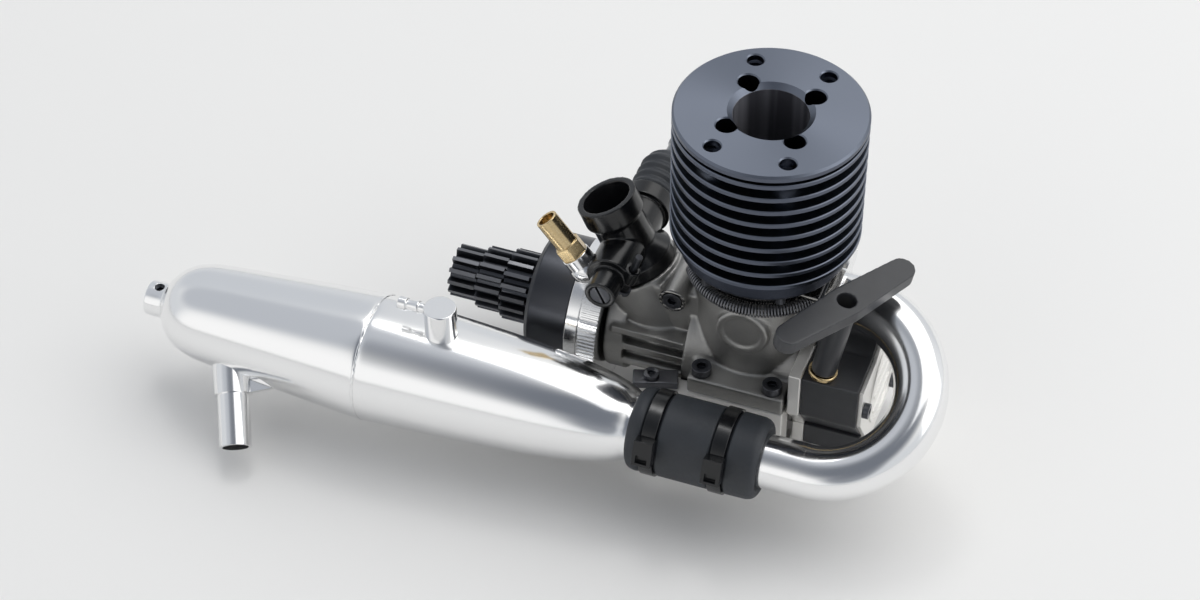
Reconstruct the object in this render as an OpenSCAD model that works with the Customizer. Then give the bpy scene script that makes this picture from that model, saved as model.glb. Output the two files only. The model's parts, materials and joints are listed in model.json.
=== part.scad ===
// Small two-stroke glow engine with carburettor, clutch, recoil starter and tuned pipe.
// Millimetres. +X is the starter end, +Y the far side, +Z up along the cylinder.
// The origin lies on the mounting plane, straight below the cylinder axis.

/* [Overall] */
// Crank axis above the mounting plane
crank_z = 20; // [20:0.5:24]
// Diameter of the cooling head
head_d = 45; // [42:0.5:50]
// Height of the cooling head
head_h = 34.8; // [30:0.2:42]
// Diameter of the flywheel
fly_d = 36; // [32:0.5:37]
// Diameter of the clutch bell
bell_d = 32; // [30:0.5:34]
// Largest diameter of the tuned pipe
pipe_d = 31.2; // [28:0.2:38]
// Length of the tuned pipe from its neck to the end of its dome
pipe_len = 139; // [120:1:160]

/* [Cylinder] */
// Bore of the cylinder liner
bore_d = 18; // [16:0.1:19]
// Stroke of the piston
stroke = 14.4; // [13:0.1:14.4]
// Distance between the eyes of the connecting rod
rod_len = 26; // [26:0.5:28]
// Wall of the cylinder liner
liner_wall = 1.8; // [1.5:0.1:2]
// Diameter of the wrist pin
wrist_d = 5; // [4:0.1:5.4]
// Room left between the crown and the deck at the top of the stroke
squish = 0.8; // [0.6:0.1:1.2]
// Crown of the piston above the wrist pin
crown_h = 6; // [5.8:0.1:6.6]

/* [Crankcase] */
// Outer radius of the crank chamber
case_r = 15.6; // [15.2:0.1:15.8]
// Inner radius of the crank chamber
chamber_r = 14.3; // [14.3:0.05:14.6]
// Radius of the barrel that holds the liner
barrel_r = 15.5; // [15:0.1:16.5]
// Radius of the deck under the cooling head
deck_r = 20.3; // [19.8:0.1:21]
// Distance between the two screws of one lug
lug_pitch = 17.65; // [16:0.05:18]
// Rows of lug screws, from the crank axis
lug_row = 18.3; // [17.6:0.1:19]
// Forward lean of the carburettor
carb_lean = 25; // [18:1:28]

/* [Crank train] */
// Diameter of the main crank journal
journal_d = 11.9; // [10:0.1:12]
// Diameter of the front crank journal
front_d = 6.96; // [6:0.02:7.2]
// Radius of the crank disc
disc_r = 12.2; // [11.8:0.1:12.4]
// Tip diameter of the small pinion
pinion_d1 = 13.3; // [12.6:0.1:14]
// Tip diameter of the middle pinion
pinion_d2 = 15.9; // [15:0.1:16.5]
// Tip diameter of the large pinion
pinion_d3 = 18.1; // [17.5:0.1:19]
// Diameter of the pilot that the clutch bell turns on
pilot_d = 4; // [3.4:0.1:4.2]

/* [Exhaust] */
// Outer diameter of the header tube
tube_d = 13; // [11:0.1:13.4]
// Wall of the header tube and pipe
tube_wall = 0.8; // [0.5:0.1:1.2]
// Height of the exhaust flange above the crank axis
port_h = 23.5; // [23:0.1:24]
// Distance of the pipe axis to the side of the crank axis
pipe_side = 37.6; // [36:0.1:42]
// Height of the pipe axis above the crank axis
pipe_up = 3; // [0:0.5:5]
// Outer diameter of the tail pipe
tail_d = 8; // [7:0.1:9]
// Length of the tail pipe from the pipe axis
tail_len = 32.5; // [28:0.5:40]
// Turn of the tail pipe outwards from straight down
tail_turn = 56.5; // [40:0.5:70]
// Lean of the tail pipe towards the engine
tail_lean = 21.4; // [0:0.2:25]

/* [Starter] */
// Radius of the starter housing
starter_r = 14.8; // [14.4:0.1:15]
// Radius of the cord on its pulley
cord_turn_r = 10.5; // [9.5:0.1:10.8]
// Diameter of the pull cord
cord_d = 1.6; // [1.2:0.1:2]
// Length of the handle bar
bar_len = 43; // [36:1:50]
// Lean of the handle towards the rear
pull_lean = 9.7; // [6:0.1:12]

/* [Fits] */
// Radial clearance of a turning or sliding fit
run_gap = 0.03; // [0.02:0.01:0.06]
// Gap between parts that are fixed together
seat_gap = 0.02; // [0.01:0.01:0.04]
// Gap between parts that pass each other
free_gap = 0.4; // [0.35:0.05:0.6]

/* [Hidden] */
$fn = 96;
e = 0.01;
crank_r = stroke / 2;
bore_r = bore_d / 2;
liner_r = bore_r + liner_wall;
head_r = head_d / 2;
fly_r = fly_d / 2;
bell_r = bell_d / 2;
tube_r = tube_d / 2;
pipe_r = pipe_d / 2;
tail_r = tail_d / 2;
wrist_r = wrist_d / 2;
journal_r = journal_d / 2;
front_r = front_d / 2;
pilot_r = pilot_d / 2;
cord_r = cord_d / 2;
piston_r = bore_r - run_gap;
liner_lip_r = liner_r + 1.7;
shim_t = 0.3;
button_r = 13.6;
plug_r = 3.05;
fins = 9;
fin_pitch = head_h / fins;
big_eye_r = 2.6;
shoe_pin_r = 1.5;
shoe_pin_at = 10;
bell_wall = 1.4;
shoe_groove_r = bell_r - 3.2;
bearing_wall = 1.85;
starter_shaft_r = 2.5;
// heights above the crank axis, piston at the bottom of its stroke
wrist_h = rod_len - crank_r;
crown_low = wrist_h + crown_h;
skirt_low = wrist_h - 5;
deck_h = crown_low + stroke + squish;
liner_low = wrist_h - 1.9;
head_low = deck_h + 1.5;
head_top = head_low + head_h;
button_top = deck_h + 7.2;
spring_h = deck_h - 10.5;
// stations along the crank axis
case_back = 13;
case_front = -15;
nose_front = -36;
fly_back = nose_front - free_gap;
fly_front = fly_back - 8.2;
bell_back = fly_front - 0.6;
bell_front = fly_front - 11.4;
pinion_back = bell_front - 2.2;
pinion_front = pinion_back - 21.3;
plate_back = 16;
box_back = 30;
web_front = -8.5;
web_back = -3.7;
seat_back = -9;
// stations along the tuned pipe
pipe_at = [-pipe_side, pipe_up];
neck_end = -2;
neck_r = 8;
front_len = 83;
seam_x = neck_end - front_len;
dome_end = neck_end - pipe_len;
boss_end = dome_end - 4.8;
hanger_screw_x = boss_end + 3;
hanger_screw_r = 1.25;
tail_x = dome_end + 16.6;
sleeve_len = 19.5;
sleeve_r = tail_r + 0.7;
stem_r = 2;
nipple_x = neck_end - 65.5;
nipple_y = -pipe_side;
tie_x = [-12.8, 4];
joint_groove_r = 9.3;
// header bend
bend_y = -pipe_side;
bend_z = pipe_up - port_h;
bend_r = norm([bend_y, bend_z]) / 2;
bend_turn = atan2(bend_z, bend_y);
bend_x = 22.9;
bend_thin = 0.04;
flange_x = 17.4;
gasket_t = 0.4;
port_w = 10.5;
spring_r = 17.2;
// carburettor and starter
carb_at = [-30.8, 0, crank_z + 18.3];
slide_h = 7.4;
throat_h = 21;
boot_start = 15;
carb_barrel_r = 5.6;
slide_r = 4.4;
slide_rod_r = 1.6;
low_needle_r = 1.5;
idle_r = 0.9;
idle_head_r = 1.7;
carb_bore_r = 4.2;
needle_stem_r = 2;
horn_y = -19;
horn_h = 13;
cord_x = 20;
spring_room_r = 12.6;
cord_out = [20.1, -15.7, horn_h];
button_holes = 8;
bolt_x = 8.9;
bolt_y = 15.8;
bolt_r = 1.3;
pinch_x = -19.2;
pinch_h = 18.9;
lug_screw_r = 1.5;
lug_top = 6;
lug_low = 1.2;
lug_side = 21.2;
foot_pitch_x = 16;
foot_pitch_y = 30;
foot_hole_r = 1.6;
arm_x = -21.1;
arm_y = -19.3;
arm_screw_r = 1.1;

cast_grey = "#a7a6a0";
bright = "#d9dbdd";
black = "#1b1c20";
steel = "#5a5c60";
brass_tone = "#b8924e";
rubber_tone = "#34363a";

// round bar along the crank axis, or along a line beside it
module bar_x(x0, x1, r, r2 = -1, at = [0, 0]) {
  translate([x0, at[0], crank_z + at[1]])
    rotate([0, 90, 0])
      cylinder(h = x1 - x0, r1 = r, r2 = r2 < 0 ? r : r2);
}

module ring_x(x0, x1, r, hole, at = [0, 0]) {
  difference() {
    bar_x(x0, x1, r, at = at);
    bar_x(x0 - 1, x1 + 1, hole, at = at);
  }
}

// round bar along Y
module bar_y(x, z, y0, y1, r, r2 = -1) {
  translate([x, y0, z])
    rotate([-90, 0, 0])
      cylinder(h = y1 - y0, r1 = r, r2 = r2 < 0 ? r : r2);
}

// upright bar with its foot a height above the crank axis
module post(h0, h1, r, x = 0, y = 0) {
  translate([x, y, crank_z + h0])
    cylinder(h = h1 - h0, r = r);
}

// block given by two corners, heights above the crank axis
module block(low, high) {
  translate([low[0], low[1], low[2] + crank_z])
    cube([high[0] - low[0], high[1] - low[1], high[2] - low[2]]);
}

// flat shape drawn in (y, height) and given a thickness along the crank axis
module slab_x(x0, x1) {
  translate([x0, 0, crank_z])
    rotate([90, 0, 90])
      linear_extrude(x1 - x0)
        children();
}

module spun_x(points, y = 0, up = 0) {
  translate([0, y, crank_z + up])
    rotate([0, -90, 0])
      rotate_extrude()
        polygon(points);
}

module four(x, y) {
  for (sx = [-1, 1], sy = [-1, 1])
    translate([sx * x, sy * y, 0])
      children();
}

// cylinder between two points
module rod_between(a, b, r, r2 = -1) {
  d = b - a;
  translate(a)
    rotate([0, acos(d[2] / norm(d)), atan2(d[1], d[0])])
      cylinder(h = norm(d), r1 = r, r2 = r2 < 0 ? r : r2);
}

// frame of the leaning carburettor: its bore is the local Z axis
module carb_frame() {
  translate(carb_at)
    rotate([0, -carb_lean, 0])
      children();
}

// frame of the starter cord where it leaves the housing
module pull_frame() {
  translate(cord_out + [0, 0, crank_z])
    rotate([0, pull_lean, 0])
      children();
}

// room that the turning flywheel needs
module fly_room() {
  bar_x(bell_front - 1, nose_front + 0.05, fly_r + free_gap);
}

module crankcase() {
  ring_len = 5;
  seat_r = 10;
  boss_h = 20;
  color(cast_grey)
    difference() {
      union() {
        bar_x(case_front, case_back, case_r);
        post(0, deck_h, barrel_r);
        post(deck_h - 4, deck_h, deck_r);
        post(deck_h - 6, deck_h - 4, deck_r - 2);
        bar_x(nose_front, case_front, 10.2);
        bar_x(nose_front, nose_front + ring_len, 13.2);
        for (h = [5.6, 0.6, -4.4])
          block([nose_front + 2, -12.6, h], [case_front + 2, 12.6, h + 1.9]);
        block([-27, -8, 6], [-11, 8, 20]);
        bar_y(pinch_x, crank_z + pinch_h, -10.5, 10.5, 3.4);
        bar_y(0, crank_z + boss_h, -barrel_r - 0.6, barrel_r + 0.6, 6.4);
        intersection() {
          carb_frame()
            translate([0, 0, -18])
              cylinder(h = 18, r = seat_r);
          block([nose_front, -20, -2], [0, 20, 40]);
        }
        block([-11.6, -lug_side, lug_low], [12.3, lug_side, lug_top]);
        block([6, -port_w, port_h - 7.5], [flange_x - gasket_t, port_w, port_h + 8.5]);
      }
      // crank chamber, bearing seats and shaft tunnel
      bar_x(seat_back, case_back + 1, chamber_r);
      bar_x(case_front, seat_back + e, 11 + seat_gap);
      bar_x(nose_front - 1, 0, journal_r + free_gap);
      bar_x(nose_front - 1, nose_front + 4.5, 8 + seat_gap);
      // liner seat
      post(0, deck_h + 1, liner_r + seat_gap);
      post(deck_h - 2, deck_h + 1, liner_lip_r + seat_gap);
      // room for the swinging rod, carried up as transfer passages
      block([-4.2, -13.9, -2], [4.2, 13.9, liner_low + 11]);
      // exhaust duct
      bar_x(8, flange_x + 1, tube_r - tube_wall, at = [0, port_h]);
      // flat that the rear cover closes
      block([case_back, -25, -25], [case_back + 10, 25, port_h - 7.5]);
      // carburettor seat and intake
      carb_frame() {
        translate([0, 0, -6.2])
          cylinder(h = 30, r = 7 + seat_gap);
        translate([0, 0, -18])
          cylinder(h = 13, r = carb_bore_r);
      }
      fly_room();
      // pinch bolt
      bar_y(pinch_x, crank_z + pinch_h, -11, -8.4, 2.4);
      bar_y(pinch_x, crank_z + pinch_h, -9, 6, 1.5);
      // shallow panel on the boss of each side
      bar_y(0, crank_z + boss_h, -barrel_r - 1, -barrel_r - 0.1, 5);
      bar_y(0, crank_z + boss_h, barrel_r + 0.1, barrel_r + 1, 5);
      // head bolts and lug screws
      four(bolt_x, bolt_y)
        post(deck_h - 7, deck_h + 1, bolt_r + seat_gap);
      four(lug_pitch / 2, lug_row)
        post(lug_low - 1, lug_top + 1, lug_screw_r + seat_gap);
    }
}

module cylinder_liner() {
  color(brass_tone)
    difference() {
      union() {
        post(liner_low, deck_h, liner_r);
        post(deck_h - 2, deck_h, liner_lip_r);
      }
      post(liner_low - 1, deck_h + 1, bore_r);
      block([0, -5.6, crown_low + 0.2], [liner_r + 1, 5.6, crown_low + 5.4]);
      block([-4.2, -liner_r - 1, crown_low + 0.2], [4.2, liner_r + 1, crown_low + 3.6]);
    }
}

module head_shim() {
  color(brass_tone)
    difference() {
      post(deck_h, deck_h + shim_t, liner_lip_r);
      post(deck_h - 1, deck_h + 1, bore_r + 0.2);
    }
}

module head_button() {
  color(bright)
    difference() {
      post(deck_h + shim_t, button_top, button_r);
      translate([0, 0, crank_z + deck_h - 3.9])
        sphere(r = 7.4);
      post(deck_h, button_top + 1, plug_r);
      four(button_holes, button_holes)
        post(button_top - 4, button_top + 1, 1.25 + seat_gap);
    }
}

module glow_plug() {
  color(steel)
    difference() {
      union() {
        post(button_top - 4, button_top, plug_r - seat_gap);
        post(button_top, button_top + 1, 4.6);
        translate([0, 0, crank_z + button_top + 1])
          cylinder(h = 3.4, r = 4.6, $fn = 6);
        post(button_top + 4.4, button_top + 7, 2.2);
        post(button_top + 7, button_top + 8.4, 1.1);
      }
      post(button_top - 5, button_top - 1.2, 1.7);
    }
}

module cooling_head() {
  fin_t = 1.3;
  well_r = 8.75;
  lead = 1.3;
  core_r = 16;
  color(black)
    difference() {
      union() {
        post(deck_h, head_top - 1, core_r);
        for (k = [0:fins - 1])
          post(head_low + k * fin_pitch, head_low + k * fin_pitch + fin_t, head_r);
        post(head_top - 1.7, head_top - 0.5, head_r);
        translate([0, 0, crank_z + head_top - 0.5])
          cylinder(h = 0.5, r1 = head_r, r2 = head_r - 0.5);
        four(bolt_x, bolt_y)
          post(deck_h, head_low + fin_pitch, 3.1);
      }
      post(deck_h - 1, button_top, button_r + seat_gap);
      post(deck_h, head_top + 1, well_r);
      translate([0, 0, crank_z + head_top - lead])
        cylinder(h = lead + e, r1 = well_r, r2 = well_r + lead);
      four(button_holes, button_holes) {
        post(button_top - 1, head_top + 1, 1.4);
        post(button_top + 3, head_top + 1, 2.5);
      }
      four(bolt_x, bolt_y) {
        post(deck_h - 1, head_top + 1, bolt_r + 0.1);
        post(head_low + fin_pitch, head_top + 1, 1.95);
      }
    }
}

module socket_screw(head_rad, head_len, shank_r, shank_len, key = 2) {
  difference() {
    union() {
      cylinder(h = head_len, r = head_rad);
      translate([0, 0, -shank_len])
        cylinder(h = shank_len + e, r = shank_r);
    }
    translate([0, 0, head_len * 0.4])
      cylinder(h = head_len, d = key / cos(30), $fn = 6);
  }
}

module head_bolts() {
  color(steel)
    four(bolt_x, bolt_y)
      translate([0, 0, crank_z + head_low + fin_pitch])
        socket_screw(1.85, 2.4, bolt_r, fin_pitch + 8, 1.5);
}

module button_screws() {
  color(steel)
    four(button_holes, button_holes)
      translate([0, 0, crank_z + button_top + 3])
        socket_screw(2.3, 2.4, 1.25, 6.8, 2);
}

module piston() {
  color(bright)
    difference() {
      post(skirt_low, crown_low, piston_r);
      post(skirt_low - 1, skirt_low + 2, bore_r - 1.8);
      intersection() {
        post(skirt_low, crown_low - 1.5, bore_r - 1.8);
        block([-3.6, -20, skirt_low], [3.6, 20, crown_low]);
      }
      bar_x(-20, 20, wrist_r + seat_gap, at = [0, wrist_h]);
    }
}

module wrist_pin() {
  color(steel)
    ring_x(-bore_r + 1.6, bore_r - 1.6, wrist_r, wrist_r - 1.2, at = [0, wrist_h]);
}

module connecting_rod() {
  color(bright)
    difference() {
      union() {
        bar_x(-2.8, 2.8, 3.6, at = [0, wrist_h]);
        bar_x(-3, 3, 4.6, at = [0, -crank_r]);
        block([-1.8, -2.2, -crank_r], [1.8, 2.2, wrist_h]);
      }
      bar_x(-5, 5, wrist_r + run_gap, at = [0, wrist_h]);
      bar_x(-5, 5, big_eye_r, at = [0, -crank_r]);
    }
}

module crank_pin() {
  color(steel)
    ring_x(web_back + 0.35, 3.2, big_eye_r - seat_gap, 1, at = [0, -crank_r]);
}

module crankshaft() {
  color(steel)
    difference() {
      union() {
        bar_x(web_front, web_back, disc_r);
        bar_x(nose_front + 5.5, web_front, journal_r);
        bar_x(fly_front - 1.4, nose_front + 5.5, front_r);
        bar_x(fly_front - 6.2, fly_front - 1.4, 3);
      }
      // disc cut away beside the pin so that the far side balances it
      for (s = [-1, 1])
        block([web_front - 1, s < 0 ? -20 : 6.5, -20], [web_back + 1, s < 0 ? -6.5 : 20, -2.5]);
      // hollow shaft and its intake window
      bar_x(nose_front + 12, web_back + 1, 3.6);
      block([-28, -3.4, 1], [-20, 3.4, 10]);
    }
}

module rear_bearing() {
  color(bright)
    difference() {
      ring_x(case_front, seat_back, 11, journal_r + run_gap);
      for (x = [case_front - e, seat_back - 0.5])
        ring_x(x, x + 0.5 + e, 9.4, 7.6);
    }
}

module front_bearing() {
  color(bright)
    difference() {
      ring_x(nose_front, nose_front + 4.5, 8, front_r + run_gap);
      ring_x(nose_front - e, nose_front + 0.4, 6.8, 5);
    }
}

module flywheel() {
  teeth = 84;
  knurl_x = fly_front + 3.6;
  color(bright)
    difference() {
      union() {
        bar_x(fly_front, knurl_x - 0.6, fly_r - 0.4);
        bar_x(knurl_x - 0.6, knurl_x, fly_r - 1);
        slab_x(knurl_x, fly_back)
          polygon([for (k = [0:2 * teeth - 1])
            (fly_r - 0.45 * (k % 2)) * [cos(k * 180 / teeth), sin(k * 180 / teeth)]]);
        for (a = [90, 270])
          bar_x(bell_front + 3, fly_front + e, shoe_pin_r, at = shoe_pin_at * [cos(a), sin(a)]);
      }
      bar_x(fly_front - 1, fly_back - 1.6, 4.8, 5.6);
      bar_x(fly_back - 1.6 - e, fly_back + 1, 6.4);
      bar_x(fly_front - 1, fly_back + 1, 4.4);
      // rim relief on the rear face
      difference() {
        bar_x(fly_back - 2, fly_back + 1, fly_r - 2.4);
        bar_x(fly_back - 3, fly_back + 2, 8.4);
      }
    }
}

module flywheel_collet() {
  color(brass_tone)
    difference() {
      bar_x(fly_front, fly_back - 1.6, 4.9 - 2 * seat_gap, 5.6 - 2 * seat_gap);
      bar_x(fly_front - 1, fly_back + 1, front_r + seat_gap);
      block([fly_front - 1, -0.5, 0], [fly_back + 1, 0.5, 10]);
    }
}

module clutch_shoes() {
  color(rubber_tone)
    difference() {
      ring_x(bell_front + 2.6, fly_front, bell_r - bell_wall - free_gap, 7.4);
      block([bell_front, -20, -1.1], [fly_front + 1, 20, 1.1]);
      for (a = [90, 270])
        bar_x(bell_front, fly_front + 1, shoe_pin_r + seat_gap, at = shoe_pin_at * [cos(a), sin(a)]);
      ring_x(bell_front + 6, bell_front + 7.6, bell_r, shoe_groove_r);
    }
}

module clutch_spring() {
  color(steel)
    translate([bell_front + 6.8, 0, crank_z])
      rotate([0, 90, 0])
        rotate_extrude()
          translate([shoe_groove_r + 0.7 + seat_gap, 0])
            circle(r = 0.7, $fn = 24);
}

module clutch_nut() {
  color(steel)
    difference() {
      union() {
        translate([fly_front - 6.4, 0, crank_z])
          rotate([0, 90, 0])
            cylinder(h = 6.4, r = 5, $fn = 6);
        bar_x(pinion_front + 1.9, fly_front - 6.4 + e, pilot_r);
      }
      bar_x(fly_front - 6.2, fly_front + 1, 3 + seat_gap);
      bar_x(fly_front - 1.4, fly_front + 1, front_r + seat_gap);
      bar_x(pinion_front, pinion_front + 8, 1.05);
    }
}

module bell_screw() {
  color(steel)
    translate([pinion_front + 1.9, 0, crank_z])
      rotate([0, -90, 0])
        socket_screw(2.9, 1.4, 1.03, 5, 2);
}

module clutch_bell() {
  color(black)
    difference() {
      union() {
        bar_x(bell_front, bell_front + 1.2, bell_r - 1.2, bell_r);
        bar_x(bell_front + 1.2, bell_back, bell_r);
      }
      bar_x(bell_front + 1.8, bell_back + 1, bell_r - bell_wall);
      bar_x(bell_front - 1, bell_back, 6 + seat_gap);
      for (a = [0:60:300])
        bar_x(bell_front - 1, bell_front + 3, 1.5, at = 11 * [cos(a), sin(a)]);
    }
}

// toothed disc: plain straight-flanked teeth
module gear(x0, x1, tip_r, teeth) {
  depth = 1.75;
  root_r = tip_r - depth;
  step = 360 / teeth;
  tooth = [[-0.5, root_r], [-0.3, root_r], [-0.16, tip_r], [0.16, tip_r], [0.3, root_r]];
  slab_x(x0, x1)
    polygon([for (k = [0:teeth - 1], p = tooth)
      p[1] * [cos((k + p[0]) * step), sin((k + p[0]) * step)]]);
}

module pinion_gears() {
  pitch = (pinion_back - pinion_front) / 3;
  color(black)
    difference() {
      union() {
        gear(pinion_front, pinion_front + pitch, pinion_d1 / 2, 13);
        gear(pinion_front + pitch + 0.5, pinion_front + 2 * pitch, pinion_d2 / 2, 16);
        gear(pinion_front + 2 * pitch + 0.4, pinion_back, pinion_d3 / 2, 18);
        bar_x(pinion_front + pitch - 1, pinion_back, 4.8);
        bar_x(pinion_back - e, bell_front + 1.8, 6);
        bar_x(pinion_back - e, bell_front, 7.6);
      }
      bar_x(pinion_front - 1, bell_back, pilot_r + bearing_wall + seat_gap);
    }
}

module bell_bearings() {
  color(bright)
    for (x = [pinion_front + 2.3, bell_front - 3])
      ring_x(x, x + 3, pilot_r + bearing_wall, pilot_r + run_gap);
}

module carburettor_body() {
  color(black)
    difference() {
      union() {
        carb_frame() {
          translate([0, 0, -6])
            cylinder(h = 6, r = 7);
          cylinder(h = 3.4, r = 9.2);
          translate([0, 0, 3.4])
            cylinder(h = 3, r1 = 9.2, r2 = 6.6);
          cylinder(h = throat_h - 6, r = 6.4);
          translate([0, 0, throat_h - 6.4])
            cylinder(h = 1.2, r1 = 6.4, r2 = 7.5);
          translate([0, 0, throat_h - 5.2])
            cylinder(h = 5.2, r = 7.5);
          rotate([-90, 0, 0])
            translate([0, -slide_h, 0]) {
              translate([0, 0, -14])
                cylinder(h = 14 + boot_start, r = carb_barrel_r);
              translate([0, 0, boot_start - 4.5])
                cylinder(h = 4.5, r = 6.6);
              translate([0, 0, -20.4])
                cylinder(h = 6.5, r = 3.8);
            }
        }
        // boss that carries the idle screw
        idle_line()
          translate([0, 0, -1.6])
            cylinder(h = 4.2, r = 1.8);
      }
      carb_frame() {
        translate([0, 0, -7])
          cylinder(h = throat_h + 4, r = carb_bore_r);
        translate([0, 0, throat_h - 8])
          cylinder(h = 8 + e, r1 = carb_bore_r, r2 = 6);
        rotate([-90, 0, 0])
          translate([0, -slide_h, -11])
            cylinder(h = 40, r = slide_r + run_gap);
        rotate([-90, 0, 0])
          translate([0, -slide_h, -21])
            cylinder(h = 16, r = low_needle_r + run_gap);
        rotate([-90, 0, 0])
          translate([0, -slide_h, -20.5])
            cylinder(h = 2, r = 2.6);
      }
      idle_line() {
        cylinder(h = 40, r = idle_r + run_gap, center = true);
        translate([0, 0, -12])
          cylinder(h = 7.6, r = idle_head_r + free_gap);
      }
      fly_room();
    }
}

// line of the idle screw, Z along the screw
module idle_line() {
  translate([-29, -12.6, crank_z + 26])
    rotate([0, 17.8, 0])
      children();
}

module throttle_slide() {
  color(bright)
    carb_frame()
      rotate([-90, 0, 0])
        translate([0, -slide_h, 0])
          difference() {
            union() {
              translate([0, 0, -3.4])
                cylinder(h = boot_start + 7.4, r = slide_r);
              translate([0, 0, boot_start + 4 - e])
                cylinder(h = 15, r = slide_rod_r);
            }
            translate([0, 0, -5])
              cylinder(h = 6, r = 1.8);
          }
}

module slide_boot() {
  ribs = 4;
  rib_pitch = 3;
  color(rubber_tone)
    carb_frame()
      rotate([-90, 0, 0])
        translate([0, -slide_h, boot_start])
          difference() {
            union() {
              cylinder(h = ribs * rib_pitch + 1, r = 5.3);
              for (k = [0:ribs - 1])
                translate([0, 0, rib_pitch * k]) {
                  cylinder(h = rib_pitch / 2, r1 = 5.3, r2 = 6.1);
                  translate([0, 0, rib_pitch / 2])
                    cylinder(h = rib_pitch / 2, r1 = 6.1, r2 = 5.3);
                }
              translate([0, 0, ribs * rib_pitch + 1])
                cylinder(h = 3, r1 = 5.3, r2 = 3);
            }
            translate([0, 0, -1])
              cylinder(h = ribs * rib_pitch + 1, r = slide_r + free_gap);
            cylinder(h = 40, r = slide_rod_r + 2 * run_gap);
          }
}

module throttle_ball() {
  color(steel)
    carb_frame()
      rotate([-90, 0, 0])
        translate([0, -slide_h, boot_start + 19])
          difference() {
            union() {
              translate([0, 0, 2.6])
                sphere(r = 2.4);
              translate([0, 0, -2])
                cylinder(h = 3, r = 2);
            }
            translate([0, 0, -3])
              cylinder(h = 3, r = slide_rod_r + seat_gap);
          }
}

// line of the fuel needle, Z out along the brass housing
module needle_line() {
  translate([-41.1, -10, crank_z + 22.5])
    rotate([0, -38, 0])
      children();
}

module fuel_banjo() {
  color(bright)
    difference() {
      union() {
        needle_line()
          sphere(r = 4.1);
        needle_line()
          translate([0, 0, 1])
            cylinder(h = 3.6, r = 3.6);
      }
      needle_line()
        translate([0, 0, -1.5])
          cylinder(h = 8, r = needle_stem_r + seat_gap);
      carb_frame()
        rotate([-90, 0, 0])
          translate([0, -slide_h, -14])
            cylinder(h = 28, r = carb_barrel_r + seat_gap);
    }
}

module needle_housing() {
  color(brass_tone)
    needle_line()
      difference() {
        union() {
          translate([0, 0, 0.4])
            cylinder(h = 4.4, r = needle_stem_r);
          translate([0, 0, 4.6])
            cylinder(h = 3.6, r = 3.5, $fn = 6);
          translate([0, 0, 8.2])
            cylinder(h = 8.2, r = 2.75);
        }
        translate([0, 0, -2])
          cylinder(h = 20, r = 1 + run_gap);
        translate([0, 0, 9.8])
          cylinder(h = 8, r = 2.1);
      }
}

module main_needle() {
  color(brass_tone)
    needle_line()
      difference() {
        union() {
          translate([0, 0, 1.6])
            cylinder(h = 10.4, r = 1);
          cylinder(h = 1.6 + e, r1 = 0.3, r2 = 1);
          translate([0, 0, 12])
            cylinder(h = 2.4, r = 1.65);
        }
        translate([-0.25, -3, 13.4])
          cube([0.5, 6, 2]);
      }
}

module low_speed_needle() {
  color(steel)
    carb_frame()
      rotate([-90, 0, 0])
        translate([0, -slide_h, 0])
          difference() {
            union() {
              translate([0, 0, -20.2])
                cylinder(h = 1.6, r = 2.6 - 0.05);
              translate([0, 0, -18.6 - e])
                cylinder(h = 12 + 2 * e, r = low_needle_r);
              translate([0, 0, -6.6])
                cylinder(h = 5, r1 = 0.8, r2 = 0.3);
            }
            translate([-0.3, -4, -21])
              cube([0.6, 8, 1.6]);
          }
}

module idle_screw() {
  color(steel)
    idle_line()
      difference() {
        union() {
          translate([0, 0, -5])
            cylinder(h = 12.4, r = idle_r);
          translate([0, 0, -6])
            cylinder(h = 1.2, r = idle_head_r);
        }
        translate([-0.25, -3, -6.4])
          cube([0.5, 6, 0.9]);
      }
}

module carburettor_bolt() {
  color(steel)
    translate([pinch_x, -8.4, crank_z + pinch_h])
      rotate([90, 0, 0])
        socket_screw(2.4 - seat_gap, 2.2, 1.48, 13.6, 2);
}

// shape of the starter: round drum with a horn at the cord and a flat foot
module starter_shape(x0, x1, grow = 0) {
  bar_x(x0, x1, starter_r + grow);
  slab_x(x0, x1)
    polygon([[horn_y - grow, horn_h + grow], [-2, horn_h + grow], [-2, -10], [-11.5, -9.4],
      [horn_y - grow, 1]]);
  slab_x(x0, x1)
    polygon([[-13.6, -8], [-13.6, -14.4], [13.6, -14.4], [13.6, -8]]);
}

starter_screw_r = 1.1;
starter_holes = [[-11.6, -12], [11.6, -12], [10.4, 8.6], [-16.4, 5.2]];

module rear_cover() {
  color(cast_grey)
    difference() {
      union() {
        starter_shape(case_back, plate_back, 0.7);
        bar_x(case_back - 4, case_back + e, chamber_r - seat_gap);
      }
      bar_x(case_back - 5, plate_back + 1, starter_shaft_r + run_gap);
      bar_x(case_back - 5, case_back - 1.4, chamber_r - 2);
      bar_x(plate_back - 0.8, plate_back + 1, 11);
      for (p = starter_holes)
        bar_x(case_back + 0.5, plate_back + 1, starter_screw_r + seat_gap, at = p);
      // the upper edge stops short of the exhaust flange
      block([0, -25, port_h - 7.8], [plate_back + 1, 25, port_h]);
    }
}

// line of the cord inside the housing
cord_in = [cord_x, -cord_turn_r, 0];

module starter_housing() {
  color(black)
    difference() {
      starter_shape(plate_back, box_back);
      bar_x(plate_back - 1, box_back - 1.6, spring_room_r);
      bar_x(box_back - 2, box_back + 1, 3.5);
      rod_between(cord_in + [0, 0, crank_z], cord_out + [0, 0, crank_z], cord_r + 0.9);
      pull_frame()
        translate([0, 0, -2])
          cylinder(h = 4, r = 2.4);
      for (p = starter_holes)
        bar_x(plate_back - 1, box_back + 1, starter_screw_r + seat_gap, at = p);
    }
}

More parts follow.
